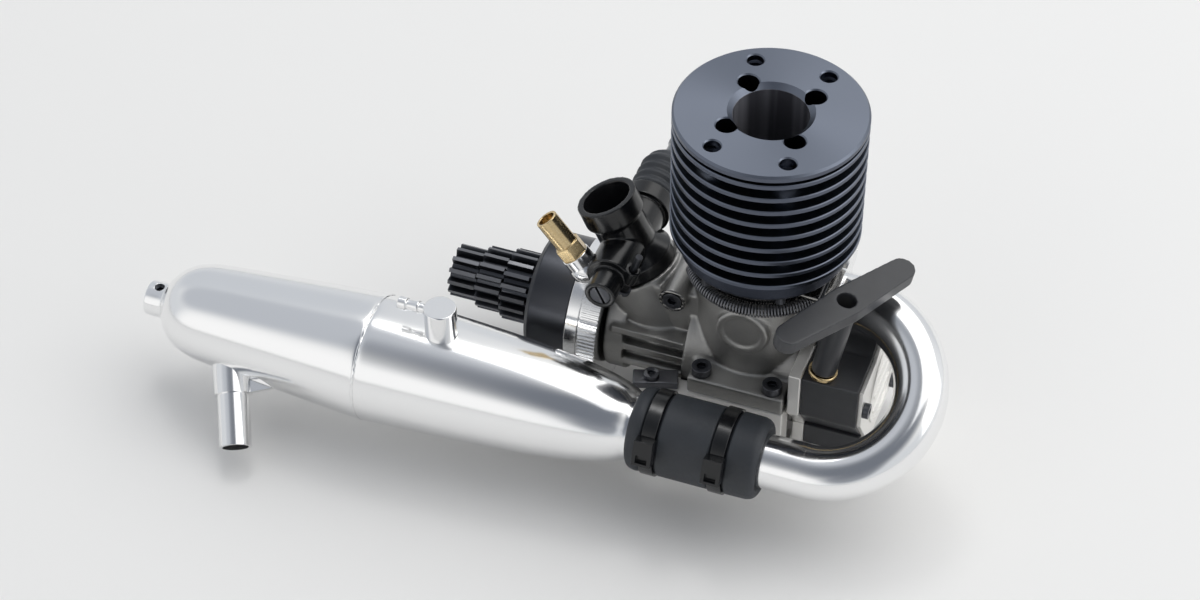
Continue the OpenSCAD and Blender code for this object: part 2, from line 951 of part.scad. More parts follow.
module starter_plate() {
  color(bright)
    difference() {
      union() {
        starter_shape(box_back, box_back + 1, -0.8);
        slab_x(box_back + 1, box_back + 1.5)
          difference() {
            circle(r = 11);
            circle(r = 9.8);
          }
        for (h = [-5, 0, 5])
          slab_x(box_back + 1, box_back + 1.4)
            translate([-7, h - 0.5])
              square([14, 1]);
      }
      for (p = starter_holes)
        bar_x(box_back - 1, box_back + 3, starter_screw_r + seat_gap, at = p);
    }
}

module starter_screws() {
  color(steel)
    for (p = starter_holes)
      translate([box_back + 1, p[0], crank_z + p[1]])
        rotate([0, 90, 0])
          socket_screw(1.9, 1.5, starter_screw_r, box_back - case_back - 0.2, 1.5);
}

module starter_shaft() {
  color(steel)
    union() {
      bar_x(4.2, 27.6, starter_shaft_r);
      bar_x(4.2, 8.4, 3.4);
    }
}

module starter_pulley() {
  color(rubber_tone)
    difference() {
      union() {
        bar_x(17.6, 22.4, 12.1);
        bar_x(22.4, 27.4, 4);
      }
      bar_x(10, 30, starter_shaft_r + seat_gap);
      ring_x(cord_x - 1.1, cord_x + 1.1, 14, cord_turn_r - cord_r - free_gap);
      for (a = [0:72:288])
        bar_x(16, 23, 1.8, at = 6.6 * [cos(a), sin(a)]);
    }
}

module recoil_spring() {
  turns = 4;
  steps = 20;
  from = 4.9;
  strip = 0.4;
  grow = (spring_room_r - strip - from) / turns;
  color(steel)
    slab_x(23, 27)
      for (k = [0:turns * steps - 1]) {
        a0 = k * 360 / steps;
        a1 = (k + 1) * 360 / steps;
        r0 = from + grow * k / steps;
        r1 = from + grow * (k + 1) / steps;
        polygon([r0 * [cos(a0), sin(a0)], (r0 + strip) * [cos(a0), sin(a0)],
          (r1 + strip) * [cos(a1), sin(a1)], r1 * [cos(a1), sin(a1)]]);
      }
}

module cord_eyelet() {
  color(brass_tone)
    pull_frame()
      difference() {
        union() {
          translate([0, 0, 0.6])
            cylinder(h = 1.2, r = 3.5);
          translate([0, 0, -1.6])
            cylinder(h = 3, r = 2.4 - seat_gap);
        }
        translate([0, 0, -3])
          cylinder(h = 6, r = cord_r + 0.8);
      }
}

// height of the handle parts along the pull line
stem_low = 2;
stem_top = 22.8;
bar_t = 3.7;
knot_h = stem_top - 4;

module pull_cord() {
  color("#c9c9c4")
    union() {
      rod_between(cord_in + [0, 0, crank_z], cord_out + [0, 0, crank_z], cord_r);
      translate(cord_out + [0, 0, crank_z])
        sphere(r = cord_r + 0.1);
      pull_frame()
        cylinder(h = knot_h + 1.8, r = cord_r);
      pull_frame()
        translate([0, 0, knot_h + 1.8])
          sphere(r = 1.8);
    }
}

module pull_handle() {
  bar_turn = 61;
  bar_w = 6.2;
  mid_w = 8.4;
  reach = (bar_len - bar_w) / 2;
  color(rubber_tone)
    pull_frame()
      difference() {
        union() {
          translate([0, 0, stem_low])
            cylinder(h = stem_top - stem_low + 1, r1 = 3, r2 = 3.2);
          translate([0, 0, stem_top])
            rotate([0, 0, bar_turn])
              linear_extrude(bar_t) {
                polygon([[-reach, -bar_w / 2], [0, -mid_w / 2], [reach, -bar_w / 2],
                  [reach, bar_w / 2], [0, mid_w / 2], [-reach, bar_w / 2]]);
                for (s = [-1, 1])
                  translate([s * reach, 0])
                    circle(d = bar_w);
              }
        }
        translate([0, 0, -1])
          cylinder(h = 60, r = cord_r + seat_gap);
        translate([0, 0, knot_h])
          cylinder(h = 20, r = 2.3);
      }
}

module mount_blocks() {
  wall = lug_side - case_r - 0.3;
  color(bright)
    for (s = [0, 1])
      mirror([0, s, 0])
        difference() {
          union() {
            translate([-11.6, -lug_side, 0])
              cube([24.1, wall, crank_z + lug_low]);
            translate([-24.4, -lug_side, 0])
              cube([13, wall, crank_z - 0.8]);
            translate([-24.4, -lug_side, 0])
              cube([36.9, lug_side - 9, crank_z - case_r - free_gap]);
          }
          for (x = [-1, 1]) {
            translate([x * foot_pitch_x / 2, -foot_pitch_y / 2, -1])
              cylinder(h = crank_z - case_r + 0.6, r = foot_hole_r);
            translate([x * lug_pitch / 2, -lug_row, crank_z - 9])
              cylinder(h = 20, r = lug_screw_r + seat_gap);
          }
          if (s == 0)
            translate([arm_x, arm_y, crank_z - 7])
              cylinder(h = 20, r = arm_screw_r + seat_gap);
        }
}

module lug_screws() {
  color(steel)
    four(lug_pitch / 2, lug_row)
      translate([0, 0, crank_z + lug_top])
        socket_screw(2.4, 2.2, lug_screw_r, 14, 2.2);
}

module side_arm() {
  color(steel)
    difference() {
      translate([-20.1, -19.05, crank_z + 0.2])
        rotate([0, 0, 18])
          cube([11, 4.6, 2], center = true);
      translate([arm_x, arm_y, crank_z - 2])
        cylinder(h = 6, r = arm_screw_r + seat_gap);
    }
}

module arm_screw() {
  color(steel)
    translate([arm_x, arm_y, crank_z + 1.2])
      socket_screw(1.9, 1.2, arm_screw_r, 7, 1.5);
}

module exhaust_gasket() {
  color(rubber_tone)
    difference() {
      block([flange_x - gasket_t, -port_w, port_h - 7.3], [flange_x, port_w, port_h + 8.3]);
      bar_x(flange_x - 1, flange_x + 1, tube_r - tube_wall, at = [0, port_h]);
    }
}

// frame of the header bend: the tube starts along +X and turns in the local XY plane
module bend_frame() {
  translate([bend_x, bend_y / 2, crank_z + (port_h + pipe_up) / 2])
    rotate([bend_turn, 0, 0])
      children();
}

// bent length of the header tube, hollow, its wall drawn a little thinner by the bending
module header_bend() {
  bend_frame()
    rotate([0, 0, -90])
      rotate_extrude(angle = 180)
        translate([bend_r, 0])
          difference() {
            circle(r = tube_r - bend_thin);
            circle(r = tube_r - tube_wall + bend_thin);
          }
}

// line of one straight end of the header spring
module spring_wire(s, r) {
  rod_between([spring_r * cos(70), s * spring_r * sin(70), crank_z + spring_h],
    [21, s * 10.9, crank_z + spring_h], r);
}

module exhaust_header() {
  hole_r = tube_r - tube_wall;
  color(bright)
    union() {
      difference() {
        union() {
          slab_x(flange_x, flange_x + 2.5)
            translate([0, port_h]) {
              circle(r = 8.2);
              translate([-9, 3])
                square([18, 5]);
              for (s = [-1, 1])
                translate([s * 9, 5.5])
                  circle(r = 2.5);
            }
          bar_x(flange_x, bend_x, tube_r, at = [0, port_h]);
        }
        bar_x(flange_x - 1, bend_x + 1, hole_r, at = [0, port_h]);
        for (s = [-1, 1])
          spring_wire(s, 0.5);
      }
      header_bend();
      ring_x(neck_end + 1, bend_x, tube_r, hole_r, at = pipe_at);
    }
}

module header_spring() {
  wire = 0.45;
  color(steel)
    union() {
      translate([0, 0, crank_z + spring_h])
        rotate([0, 0, 70])
          rotate_extrude(angle = 220)
            translate([spring_r, 0])
              circle(r = 1.6, $fn = 32);
      for (s = [-1, 1]) {
        spring_wire(s, wire);
        translate([20.9, s * 10.93, crank_z + spring_h - 2])
          cylinder(h = 2.5, r = wire);
      }
    }
}

module silicone_joint() {
  groove = [for (x = tie_x)
    [[10, -x - 2.1], [joint_groove_r, -x - 1.9], [joint_groove_r, -x + 1.9], [10, -x + 2.1]]];
  color(rubber_tone)
    difference() {
      spun_x(concat([[0, -13.4], [8.6, -13.4], [9.5, -12.6], [9.9, -11.2]], groove[1], groove[0],
        [[10.2, 16.2], [9.8, 17.8], [8.8, 18.6], [0, 18.6]]), -pipe_side, pipe_up);
      bar_x(-20, neck_end + 0.5, neck_r + seat_gap, at = pipe_at);
      bar_x(neck_end, 20, tube_r + seat_gap, at = pipe_at);
      bar_x(12, 14, tube_r, 8.4, at = pipe_at);
    }
}

module cable_ties() {
  tie_turn = 22;
  color(black)
    for (x = tie_x)
      difference() {
        union() {
          bar_x(x - 1.7, x + 1.7, joint_groove_r + 1.1, at = pipe_at);
          translate([x, -pipe_side, crank_z + pipe_up])
            rotate([-tie_turn, 0, 0])
              translate([0, -joint_groove_r - 2.5, 0])
                difference() {
                  cube([4.6, 3.2, 6.4], center = true);
                  // window of the locking tongue
                  translate([0, -1.6, -1.5])
                    cube([2.8, 2.4, 2], center = true);
                }
        }
        bar_x(x - 5, x + 5, joint_groove_r + seat_gap, at = pipe_at);
      }
}

// pipe outline: radius as a share of the largest, distance forward of the neck end
function front_outline(cut) = [[neck_r - cut, 0], [neck_r - cut, 16.8], [9.3 - cut, 18.4],
  [10.7 - cut, 23.6], [11.8 - cut, 29], [12.8 - cut, 36], [0.872 * pipe_r - cut, 44],
  [0.916 * pipe_r - cut, 54], [0.955 * pipe_r - cut, 65], [0.982 * pipe_r - cut, 75],
  [pipe_r - cut, front_len]];

function rear_outline(cut) = [[pipe_r - cut, front_len], [0.99 * pipe_r - cut, 88],
  [0.905 * pipe_r - cut, 105], [0.79 * pipe_r - cut, pipe_len - 12], [0.755 * pipe_r - cut, pipe_len - 9],
  [0.68 * pipe_r - cut, pipe_len - 5.6], [0.565 * pipe_r - cut, pipe_len - 3],
  [0.42 * pipe_r - cut, pipe_len - 1.1], [0.29 * pipe_r - cut, pipe_len - 0.2],
  [0.27 * pipe_r - cut, pipe_len]];

// stations run backwards along X from the neck end
function along(points) = [for (p = points) [p[0], p[1] - neck_end]];

module pipe_front() {
  color(bright)
    difference() {
      spun_x(concat([[0, -neck_end]], along(front_outline(0)), [[0, front_len - neck_end]]),
        -pipe_side, pipe_up);
      spun_x(concat([[0, -neck_end - 1]], [[neck_r - tube_wall, -neck_end - 1]],
        along(front_outline(tube_wall)), [[pipe_r - tube_wall, front_len + 1 - neck_end]],
        [[0, front_len + 1 - neck_end]]), -pipe_side, pipe_up);
      pressure_line()
        cylinder(h = 40, r = stem_r + 2 * seat_gap);
    }
}

module pipe_rear() {
  color(bright)
    difference() {
      union() {
        spun_x(concat([[0, front_len - neck_end]], along(rear_outline(0)), [[0, pipe_len - neck_end]]),
          -pipe_side, pipe_up);
        bar_x(boss_end, dome_end + 1, 4.45, at = pipe_at);
      }
      difference() {
        spun_x(concat([[0, front_len - 1 - neck_end]],
          [[pipe_r - tube_wall, front_len - 1 - neck_end]], along(rear_outline(tube_wall)),
          [[0, pipe_len - neck_end - 0.6]]), -pipe_side, pipe_up);
        bar_x(dome_end - 2, dome_end + 2.4, 20, at = pipe_at);
      }
      bar_x(boss_end - 1, dome_end - 0.4, 2, at = pipe_at);
      hanger_line()
        cylinder(h = 10, r = hanger_screw_r + seat_gap);
      tail_frame()
        cylinder(h = 40, r = sleeve_r + seat_gap);
    }
}

module pipe_baffle() {
  x = seam_x - 16;
  r = 0.925 * pipe_r - tube_wall;
  color(bright)
    difference() {
      spun_x([[0, -x], [r + 0.08, -x], [r, -x + 1], [0, -x + 1]], -pipe_side, pipe_up);
      bar_x(x - 2, x + 2, 5, at = pipe_at);
      for (a = [0:45:315])
        bar_x(x - 2, x + 2, 1.2, at = pipe_at + 9 * [cos(a), sin(a)]);
    }
}

// frame of the tail pipe: it starts on the pipe axis and runs out along Z, X towards the engine
module tail_frame() {
  translate([tail_x, -pipe_side, crank_z + pipe_up])
    rotate([180 - tail_turn, 0, 0])
      rotate([0, tail_lean, 0])
        children();
}

module tail_sleeve() {
  web_t = 1.4;
  web_end = 10;
  color(bright)
    union() {
      tail_frame()
        difference() {
          translate([0, 0, 2.2])
            cylinder(h = sleeve_len - 2.2, r = sleeve_r);
          cylinder(h = 60, r = tail_r - 0.2 + seat_gap);
        }
      // web that fills the sharp corner between the sleeve and the pipe
      difference() {
        tail_frame()
          translate([0, web_t / 2, 0])
            rotate([90, 0, 0])
              linear_extrude(web_t)
                polygon([[sleeve_r - 0.3, 12], [sleeve_r - 0.3, sleeve_len - 0.1],
                  [web_end, sleeve_len - 0.5], [web_end + 2, 12]]);
        spun_x(concat([[0, front_len - neck_end]], along(rear_outline(-seat_gap)),
          [[0, pipe_len - neck_end]]), -pipe_side, pipe_up);
      }
    }
}

module tail_pipe() {
  color(bright)
    tail_frame()
      difference() {
        union() {
          translate([0, 0, sleeve_len])
            cylinder(h = tail_len - sleeve_len, r = tail_r);
          translate([0, 0, 4])
            cylinder(h = sleeve_len - 4 + e, r = tail_r - 0.2);
        }
        translate([0, 0, 1])
          cylinder(h = tail_len, r = tail_r - 0.8);
      }
}

// line of the pressure fitting, upright, from the level of the pipe axis
module pressure_line() {
  translate([nipple_x, nipple_y, crank_z + pipe_up])
    children();
}

module pressure_fitting() {
  cap_h = 22.9;
  nipple_h = 21.2;
  nipple_len = 10.6;
  collar = 2.2;
  color(bright)
    difference() {
      pressure_line()
        union() {
          cylinder(h = cap_h, r = 3.9);
          translate([0, 0, nipple_h])
            rotate([0, -90, 0]) {
              cylinder(h = nipple_len, r = 1.3);
              translate([0, 0, 5.4])
                cylinder(h = 1.4, r1 = 1.6, r2 = 1.3);
              translate([0, 0, nipple_len - collar])
                cylinder(h = collar, r = 1.6);
            }
        }
      // foot cut to the round of the pipe, with a stem left to enter it
      difference() {
        spun_x(concat([[0, -neck_end]], along(front_outline(-seat_gap)), [[0, front_len - neck_end]]),
          -pipe_side, pipe_up);
        pressure_line()
          translate([0, 0, 12])
            cylinder(h = 10, r = stem_r);
      }
      pressure_line() {
        translate([0, 0, nipple_h])
          rotate([0, -90, 0])
            cylinder(h = 20, r = 0.7);
        translate([0, 0, 8])
          cylinder(h = nipple_h - 8, r = 0.8);
      }
    }
}

// line of the set screw that stands in the end boss
module hanger_line() {
  translate([hanger_screw_x, -pipe_side, crank_z + pipe_up])
    children();
}

module hanger_screw() {
  color(steel)
    hanger_line()
      translate([0, 0, 2.1])
        difference() {
          cylinder(h = 1.5, r = hanger_screw_r);
          translate([0, 0, 0.6])
            cylinder(h = 3, d = 1.5 / cos(30), $fn = 6);
        }
}

crankcase();
cylinder_liner();
head_shim();
head_button();
glow_plug();
cooling_head();
head_bolts();
button_screws();
piston();
wrist_pin();
connecting_rod();
crank_pin();
crankshaft();
rear_bearing();
front_bearing();
flywheel();
flywheel_collet();
clutch_shoes();
clutch_spring();
clutch_nut();
bell_screw();
clutch_bell();
pinion_gears();
bell_bearings();
carburettor_body();
throttle_slide();
slide_boot();
throttle_ball();
fuel_banjo();
needle_housing();
main_needle();
low_speed_needle();
idle_screw();
carburettor_bolt();
rear_cover();
starter_housing();
starter_plate();
starter_screws();
starter_shaft();
starter_pulley();
recoil_spring();
cord_eyelet();
pull_cord();
pull_handle();
mount_blocks();
lug_screws();
side_arm();
arm_screw();
exhaust_gasket();
exhaust_header();
header_spring();
silicone_joint();
cable_ties();
pipe_front();
pipe_rear();
pipe_baffle();
tail_sleeve();
tail_pipe();
pressure_fitting();
hanger_screw();
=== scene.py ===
import json
import math
import bpy
from mathutils import Matrix, Vector

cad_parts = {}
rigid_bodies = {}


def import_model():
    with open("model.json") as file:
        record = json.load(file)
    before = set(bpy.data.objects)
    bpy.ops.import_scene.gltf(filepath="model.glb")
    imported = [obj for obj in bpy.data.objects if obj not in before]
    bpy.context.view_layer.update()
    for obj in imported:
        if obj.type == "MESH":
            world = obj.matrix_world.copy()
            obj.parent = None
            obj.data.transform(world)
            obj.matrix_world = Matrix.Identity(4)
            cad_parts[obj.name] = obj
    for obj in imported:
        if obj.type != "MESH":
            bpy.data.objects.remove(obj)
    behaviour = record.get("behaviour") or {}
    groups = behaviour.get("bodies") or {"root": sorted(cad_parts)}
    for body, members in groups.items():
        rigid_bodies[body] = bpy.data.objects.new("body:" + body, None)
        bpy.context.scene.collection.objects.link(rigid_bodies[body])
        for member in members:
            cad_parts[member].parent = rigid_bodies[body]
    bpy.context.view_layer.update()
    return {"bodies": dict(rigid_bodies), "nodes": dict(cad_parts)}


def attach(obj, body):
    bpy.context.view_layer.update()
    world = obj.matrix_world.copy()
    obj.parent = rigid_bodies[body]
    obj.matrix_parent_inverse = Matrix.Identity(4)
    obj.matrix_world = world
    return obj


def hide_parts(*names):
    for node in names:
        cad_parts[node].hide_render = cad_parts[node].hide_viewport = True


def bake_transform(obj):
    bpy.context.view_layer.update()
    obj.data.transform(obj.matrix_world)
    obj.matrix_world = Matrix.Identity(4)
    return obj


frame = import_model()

mm = 0.001


# Studio table: a matt white laminate sheet that fills the view of the photograph.
# It lies just below the two mount blocks that the part stands on.
def linear(code):
    """Linear colour of an sRGB hex value."""
    parts = [int(code[i:i + 2], 16) / 255 for i in (1, 3, 5)]
    return [c / 12.92 if c <= 0.04045 else ((c + 0.055) / 1.055) ** 2.4 for c in parts] + [1.0]


def add(owner, kind, inputs, **settings):
    """One shader node with its settings; an input is a plain value or another node's output."""
    node = owner.node_tree.nodes.new(kind)
    for name, value in settings.items():
        setattr(node, name, value)
    for name, value in inputs.items():
        if isinstance(value, bpy.types.NodeSocket):
            owner.node_tree.links.new(value, node.inputs[name])
        else:
            node.inputs[name].default_value = value
    return node


def blank(name):
    """An empty material that takes nodes."""
    material = bpy.data.materials.new(name)
    material.use_nodes = True
    material.node_tree.nodes.clear()
    return material


def surfaced(material, inputs):
    """Ends a material with one principled shader."""
    shader = add(material, "ShaderNodeBsdfPrincipled", inputs)
    add(material, "ShaderNodeOutputMaterial", {"Surface": shader.outputs[0]})


table_width = 12
table_top = -0.4 * mm
bpy.ops.object.select_all(action="DESELECT")
bpy.ops.mesh.primitive_plane_add(size=table_width, location=(0, 0, table_top))
table = bpy.context.object
table.name = "studio_table"
matt_white = blank("matt white laminate")
surfaced(matt_white, {"Base Color": linear("#ECEBE9"), "Roughness": 0.9, "Specular IOR Level": 0.15})
table.data.materials.append(matt_white)


# Room: a pale ceiling over greyer walls. The place of the camera is dark, the ceiling at the left is
# dull and a low window at the near left is bright, which draws the bands along the polished pipe.
def spread(owner, value, start=0.0, end=1.0, low=0.0, high=1.0, **settings):
    """A value between start and end, mapped to the range from low to high."""
    limits = {"From Min": start, "From Max": end, "To Min": low, "To Max": high}
    return add(owner, "ShaderNodeMapRange", {"Value": value, **limits}, **settings).outputs[0]


def mixed(owner, share, first, second):
    """A colour between two others, each a hex value or another node's output."""
    first, second = (linear(c) if isinstance(c, str) else c for c in (first, second))
    return add(owner, "ShaderNodeMix", {0: share, 6: first, 7: second}, data_type="RGBA").outputs[2]


wall_tone, ceiling_tone = "#D2D5D9", "#F6F6F5"
ceiling_start, ceiling_full = 0.3, 0.8
room_strength = 1.06
# a patch has the direction of its middle, the cosines where it starts and is full, and its tone
patches = (
    ((-0.4, -0.9, 0.1), 0.75, 0.96, "#FBFBFB"),
    ((-0.5, -0.15, 0.85), 0.8, 0.95, "#B9BDC4"),
    ((-0.6, 0.55, 0.55), 0.85, 0.96, "#C6CAD0"),
    ((0.92, 0.37, 0.1), 0.8, 0.97, "#E6E8EA"),
    ((0.33, -0.87, 0.36), 0.93, 0.985, "#8A8E95"),
    ((0.2, -0.56, 0.8), 0.77, 0.97, "#70757E"))
room = bpy.data.worlds.new("room")
room.use_nodes = True
room.node_tree.nodes.clear()
sight = add(room, "ShaderNodeTexCoord", {}).outputs["Generated"]
way = add(room, "ShaderNodeSeparateXYZ", {0: sight})
rising = spread(room, way.outputs["Z"], ceiling_start, ceiling_full, interpolation_type="SMOOTHSTEP")
shade = mixed(room, rising, wall_tone, ceiling_tone)
for middle, start, full, tone in patches:
    toward = add(room, "ShaderNodeVectorMath",
                 {0: sight, 1: Vector(middle).normalized()}, operation="DOT_PRODUCT")
    part = spread(room, toward.outputs["Value"], start, full, interpolation_type="SMOOTHSTEP")
    shade = mixed(room, part, shade, tone)
glow = add(room, "ShaderNodeBackground", {"Color": shade, "Strength": room_strength})
add(room, "ShaderNodeOutputWorld", {"Surface": glow.outputs[0]})
bpy.context.scene.world = room

# Lights: a large soft box overhead and a little behind, a weaker one at the right and a small one
# for glints. Each row has the name, the place and width in metres, and the power in watts.
lit_point = Vector((-0.03, -0.01, 0.02))
lights = (
    ("soft_box", (0.3, 0.35, 1.0), 1.3, 4.8),
    ("side_box", (1.0, 0.1, 0.6), 0.8, 1.7),
    ("glint_box", (-0.22, 0.28, 1.0), 0.22, 0.7))
for name, stand, width, power in lights:
    light = bpy.data.objects.new(name, bpy.data.lights.new(name, "AREA"))
    light.data.size = width
    light.data.energy = power
    light.location = stand
    light.rotation_euler = (lit_point - Vector(stand)).to_track_quat("-Z", "Y").to_euler()
    bpy.context.collection.objects.link(light)

# Camera at the photograph's place: above, from the near right, with a long lens.
# Its angles, place and lens were fitted to points of the engine in the photograph.
turn = math.radians(20.249)
rise = math.radians(44.955)
roll = math.radians(-0.253)
eye_x, eye_y, eye_z = 129.23 * mm, -462.34 * mm, 514.06 * mm
focal_length, sensor_width = 84.49, 36
nearest, farthest = 0.01, 20
right = Vector((math.cos(turn), math.sin(turn), 0))
back = Vector((math.sin(turn) * math.cos(rise), -math.cos(turn) * math.cos(rise), math.sin(rise)))
up = back.cross(right)
rolled_right = right * math.cos(roll) + up * math.sin(roll)
rolled_up = up * math.cos(roll) - right * math.sin(roll)
camera = bpy.data.objects.new("camera", bpy.data.cameras.new("camera"))
camera.data.lens = focal_length
camera.data.sensor_width = sensor_width
camera.data.clip_start = nearest
camera.data.clip_end = farthest
camera.matrix_world = Matrix((
    (rolled_right.x, rolled_up.x, back.x, eye_x),
    (rolled_right.y, rolled_up.y, back.y, eye_y),
    (rolled_right.z, rolled_up.z, back.z, eye_z),
    (0, 0, 0, 1)))
bpy.context.collection.objects.link(camera)
bpy.context.scene.camera = camera
bpy.context.scene.view_settings.view_transform = "Standard"


# Crankcase: one aluminium casting, bead blasted, with nose, lugs, barrel and exhaust stub.
# The copy is remeshed so that its corners get the fillets of a casting.
def body_of(name):
    """Name of the CAD body that a node rides on."""
    return next(b for b, empty in frame["bodies"].items() if empty == frame["nodes"][name].parent)


def copied(name):
    """A merged copy of a CAD node, selected and active, standing in for it."""
    node = frame["nodes"][name]
    piece = bpy.data.objects.new(name + "_piece", node.data.copy())
    bpy.context.collection.objects.link(piece)
    bpy.ops.object.select_all(action="DESELECT")
    piece.select_set(True)
    bpy.context.view_layer.objects.active = piece
    bpy.ops.mesh.customdata_custom_splitnormals_clear()
    bpy.ops.object.mode_set(mode="EDIT")
    bpy.ops.mesh.select_all(action="SELECT")
    bpy.ops.mesh.remove_doubles(threshold=2e-6)
    bpy.ops.object.mode_set(mode="OBJECT")
    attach(piece, body_of(name))
    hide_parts(name)
    return piece


def applied(piece, kind, **settings):
    """Adds one modifier with its settings and applies it."""
    bpy.context.view_layer.objects.active = piece
    modifier = piece.modifiers.new(kind, kind)
    for name, value in settings.items():
        setattr(modifier, name, value)
    bpy.ops.object.modifier_apply(modifier=modifier.name)


def cast_shape(name, voxel, passes):
    """A copy of a CAD node with every corner rounded as in a casting or moulding."""
    piece = copied(name)
    applied(piece, "REMESH", mode="VOXEL", voxel_size=voxel)
    applied(piece, "SMOOTH", factor=0.5, iterations=passes)
    bpy.ops.object.shade_smooth()
    return piece


def finished(piece, material):
    """Gives a piece its one material."""
    piece.data.materials.clear()
    piece.data.materials.append(material)


def surface_place(owner):
    """The place on the piece, in the shared frame."""
    return add(owner, "ShaderNodeTexCoord", {}).outputs["Object"]


def noise(owner, place, scale, detail):
    """The value of a noise at a place."""
    return add(owner, "ShaderNodeTexNoise", {"Vector": place, "Scale": scale, "Detail": detail}).outputs[0]


def bumped(owner, height, strength, depth):
    """The normal of a surface with this height drawn in it."""
    drawn = {"Height": height, "Strength": strength, "Distance": depth}
    return add(owner, "ShaderNodeBump", drawn).outputs[0]


def worked_out(owner, operation, first, second):
    """The result of one sum or test on two values."""
    return add(owner, "ShaderNodeMath", {0: first, 1: second}, operation=operation).outputs[0]


def barrel_distance(owner, place):
    """Distance of a place from the upright axis of the barrel."""
    level = add(owner, "ShaderNodeVectorMath", {0: place, 1: (1.0, 1.0, 0.0)}, operation="MULTIPLY")
    return add(owner, "ShaderNodeVectorMath", {0: level.outputs[0]}, operation="LENGTH").outputs["Value"]


flange_low = 55.9 * mm
barrel_low, barrel_r = 46.2 * mm, 19.8 * mm
bolt_seat, bolt_seat_r = (-19.2 * mm, -10.8 * mm, 38.9 * mm), 3.4 * mm
recess_shade_reach = 3.0 * mm
blasted = blank("bead blasted cast aluminium")
place = surface_place(blasted)
grit = noise(blasted, place, scale=2400.0, detail=3.0)
cloud = noise(blasted, place, scale=160.0, detail=3.0)
# the casting is painted darker in its recesses by ambient occlusion, a painted shade
recess_occlusion = add(blasted, "ShaderNodeAmbientOcclusion", {"Distance": recess_shade_reach}, samples=6)
painted_recess_shade = spread(blasted, recess_occlusion.outputs["AO"], start=0.2, end=0.8)
tone = mixed(blasted, cloud, "#979694", "#B0AFAC")
tone_with_painted_shade = mixed(blasted, painted_recess_shade, "#3F3E3D", tone)
rough = spread(blasted, grit, low=0.36, high=0.54)
bump = bumped(blasted, grit, strength=0.7, depth=0.1 * mm)
height = add(blasted, "ShaderNodeSeparateXYZ", {0: place}).outputs["Z"]
# the flange under the head is dark like the head
flange = worked_out(blasted, "GREATER_THAN", height, flange_low)
coat = mixed(blasted, flange, tone_with_painted_shade, "#383C46")
cast = add(blasted, "ShaderNodeBsdfPrincipled",
           {"Base Color": coat, "Metallic": 0.92, "Roughness": rough, "Normal": bump})
# the barrel under the dark flange and the seat of the pinch bolt are turned bright
near = worked_out(blasted, "LESS_THAN", barrel_distance(blasted, place), barrel_r)
above = worked_out(blasted, "GREATER_THAN", height, barrel_low)
barrel = worked_out(blasted, "MULTIPLY", near, above)
from_bolt = add(blasted, "ShaderNodeVectorMath", {0: place, 1: bolt_seat}, operation="DISTANCE")
seat = worked_out(blasted, "LESS_THAN", from_bolt.outputs["Value"], bolt_seat_r)
bright = worked_out(blasted, "MAXIMUM", barrel, seat)
rings = add(blasted, "ShaderNodeTexWave",
            {"Vector": place, "Scale": 260.0, "Distortion": 0.4}, bands_direction="Z").outputs[0]
ring_bump = bumped(blasted, rings, strength=0.5, depth=0.12 * mm)
grooved = mixed(blasted, rings, "#4A4A4C", "#A9A7A3")
turned = add(blasted, "ShaderNodeBsdfPrincipled",
             {"Base Color": grooved, "Metallic": 1.0, "Roughness": 0.26, "Normal": ring_bump})
shader = add(blasted, "ShaderNodeMixShader", {0: bright, 1: cast.outputs[0], 2: turned.outputs[0]})
add(blasted, "ShaderNodeOutputMaterial", {"Surface": shader.outputs[0]})
crankcase = cast_shape("crankcase", voxel=0.45 * mm, passes=2)
finished(crankcase, blasted)


# Cylinder and crank train inside the case: brass liner and shim, turned aluminium button, piston
# and rod, ground steel pins, shaft and bearings. They are pressed or slid together and mostly hidden.
def plain_node(name, material):
    """Keeps the CAD node as it is, with this material."""
    frame["nodes"][name].material_slots[0].material = material


def stretched(owner, place, scales):
    """A place scaled along each axis, so that a noise there is drawn out into streaks."""
    return add(owner, "ShaderNodeMapping", {"Vector": place, "Scale": scales}).outputs[0]


turned_alloy = blank("turned aluminium")
streak = stretched(turned_alloy, surface_place(turned_alloy), scales=(5200.0, 120.0, 120.0))
lines = noise(turned_alloy, streak, scale=1.0, detail=2.0)
rough = spread(turned_alloy, lines, low=0.24, high=0.4)
bump = bumped(turned_alloy, lines, strength=0.15, depth=0.03 * mm)
surfaced(turned_alloy, {
    "Base Color": linear("#ECEAE6"), "Metallic": 0.55, "Roughness": rough, "Normal": bump})

ground_steel = blank("ground steel")
mark = noise(ground_steel, surface_place(ground_steel), scale=2500.0, detail=3.0)
rough = spread(ground_steel, mark, low=0.2, high=0.4)
surfaced(ground_steel, {"Base Color": linear("#8E9093"), "Metallic": 1.0, "Roughness": rough})

brass = blank("turned brass")
mark = noise(brass, surface_place(brass), scale=1800.0, detail=3.0)
tone = mixed(brass, mark, "#C7AC7C", "#DDC9A0")
rough = spread(brass, mark, low=0.16, high=0.34)
surfaced(brass, {"Base Color": tone, "Metallic": 1.0, "Roughness": rough})

for name in ("cylinder_liner", "head_shim"):
    plain_node(name, brass)
for name in ("head_button", "piston", "connecting_rod"):
    plain_node(name, turned_alloy)
for name in ("wrist_pin", "crank_pin", "crankshaft", "rear_bearing", "front_bearing"):
    plain_node(name, ground_steel)


